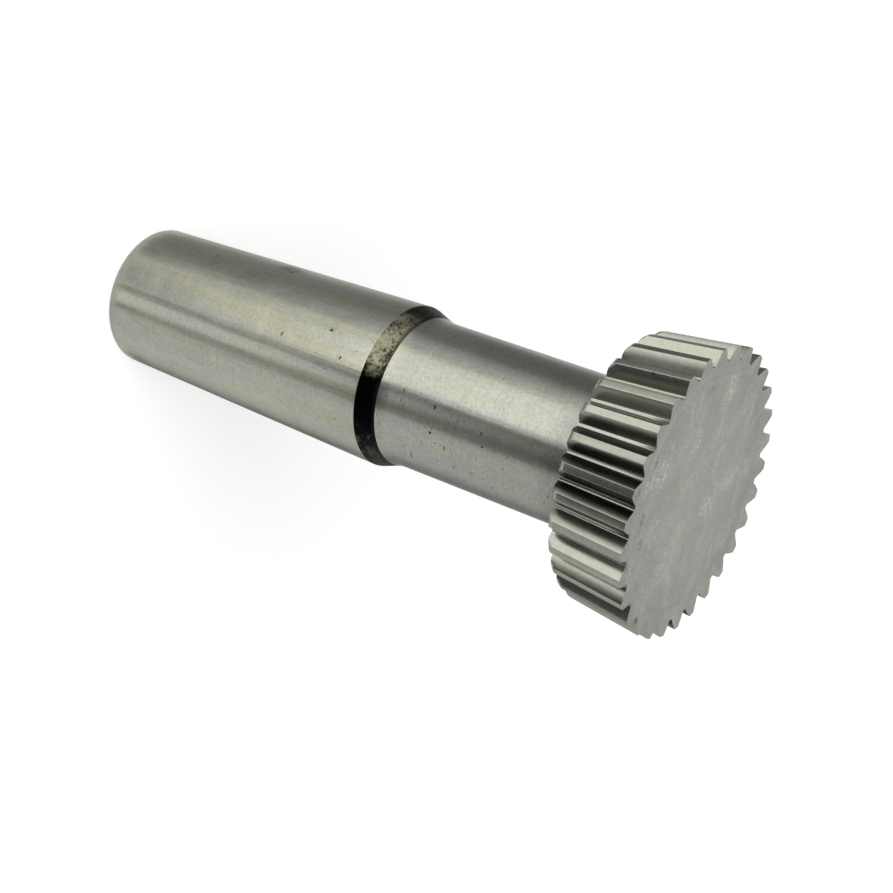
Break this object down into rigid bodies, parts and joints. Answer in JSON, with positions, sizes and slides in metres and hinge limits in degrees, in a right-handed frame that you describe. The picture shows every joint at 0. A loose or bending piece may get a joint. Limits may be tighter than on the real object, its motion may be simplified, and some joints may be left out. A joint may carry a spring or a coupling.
{
  "type": "shank gear shaper cutter",
  "caption": "One-piece gear shaper cutter: relieved toothed head with a raked cutting face, plain neck and short taper shank for the machine spindle.",
  "frame": {"origin": "centre of the end face of the taper shank, on which the cutter stands", "axes": "+Z along the axis, from the shank to the cutting face; +X through the middle of one tooth"},
  "size_m": [0.04, 0.04, 0.0977],
  "materials": {
    "ground_steel": "satin ground, with heat scale on the step below the neck"
  },
  "bodies": {
    "root": {"cutter": "ground_steel"}
  },
  "joints": []
}
